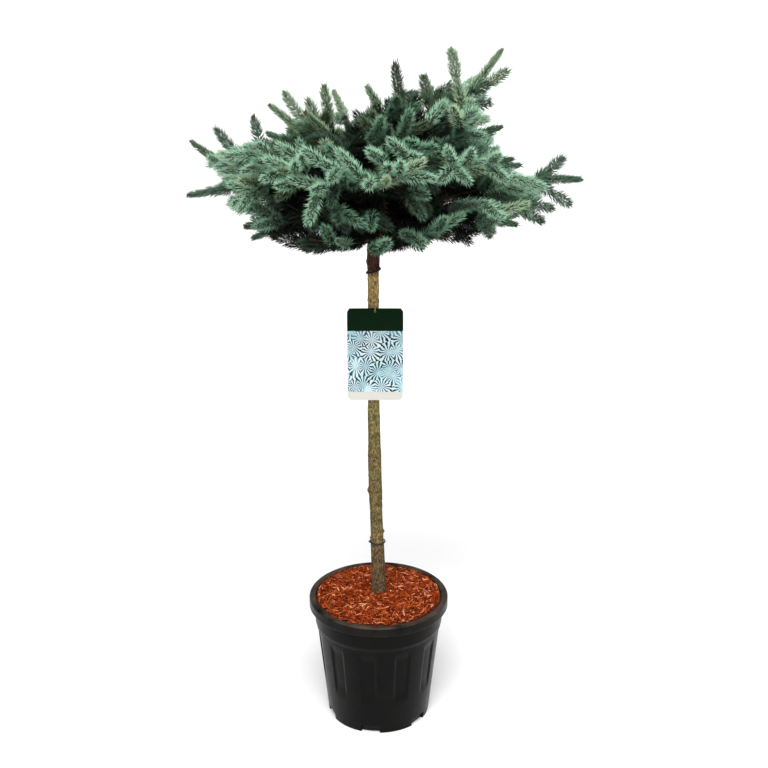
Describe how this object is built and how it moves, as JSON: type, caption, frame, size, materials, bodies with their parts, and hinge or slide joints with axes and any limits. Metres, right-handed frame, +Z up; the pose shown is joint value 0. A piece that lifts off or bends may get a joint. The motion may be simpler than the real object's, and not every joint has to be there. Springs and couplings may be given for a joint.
{
  "type": "potted plant",
  "caption": "Blue spruce grafted on a bare stem: a wide, uneven crown of needle-clad twigs over a slim trunk, in a black nursery pot with bark mulch and a hanging care label.",
  "frame": {"origin": "centre of the pot's flat underside", "axes": "+Z up along the stem, -Y the front that the care label faces, +X to the right seen from the front"},
  "size_m": [0.7132, 0.5932, 1.333],
  "materials": {
    "pot": "satin black moulded plastic",
    "soil": "moist crumbly potting soil",
    "mulch": "shredded red-brown bark chips",
    "trunk_bark": "rough grey-brown bark with green algae",
    "bough_bark": "scaly red-brown bark",
    "foliage": "waxy blue-green needles",
    "tie": "dark soft tie",
    "label_card": "printed plastic card",
    "label_string": "thin twisted string"
  },
  "bodies": {
    "root": {"back_left_bough": "bough_bark", "back_left_foliage": "foliage", "back_left_low_bough": "bough_bark", "back_left_low_foliage": "foliage", "back_low_bough": "bough_bark", "back_low_foliage": "foliage", "back_right_bough": "bough_bark", "back_right_foliage": "foliage", "bark_mulch": "mulch", "care_label": "label_card", "far_right_bough": "bough_bark", "far_right_foliage": "foliage", "front_bough": "bough_bark", "front_foliage": "foliage", "front_left_bough": "bough_bark", "front_left_foliage": "foliage", "front_low_bough": "bough_bark", "front_low_foliage": "foliage", "front_right_bough": "bough_bark", "front_right_foliage": "foliage", "front_right_low_bough": "bough_bark", "front_right_low_foliage": "foliage", "label_string": "label_string", "leader_foliage": "foliage", "left_back_bough": "bough_bark", "left_back_foliage": "foliage", "left_bough": "bough_bark", "left_foliage": "foliage", "left_front_bough": "bough_bark", "left_front_foliage": "foliage", "left_front_low_bough": "bough_bark", "left_front_low_foliage": "foliage", "left_low_bough": "bough_bark", "left_low_foliage": "foliage", "left_under_bough": "bough_bark", "left_under_foliage": "foliage", "lower_tie": "tie", "pot": "pot", "potting_soil": "soil", "right_back_bough": "bough_bark", "right_back_foliage": "foliage", "right_back_low_bough": "bough_bark", "right_back_low_foliage": "foliage", "right_bough": "bough_bark", "right_foliage": "foliage", "right_front_low_bough": "bough_bark", "right_front_low_foliage": "foliage", "top_foliage": "foliage", "top_left_foliage": "foliage", "top_right_bough": "bough_bark", "top_right_foliage": "foliage", "trunk": "trunk_bark", "upper_back_left_foliage": "foliage", "upper_back_right_foliage": "foliage", "upper_front_foliage": "foliage", "upper_front_left_foliage": "foliage", "upper_left_foliage": "foliage", "upper_right_foliage": "foliage", "upper_tie": "tie"}
  },
  "joints": []
}
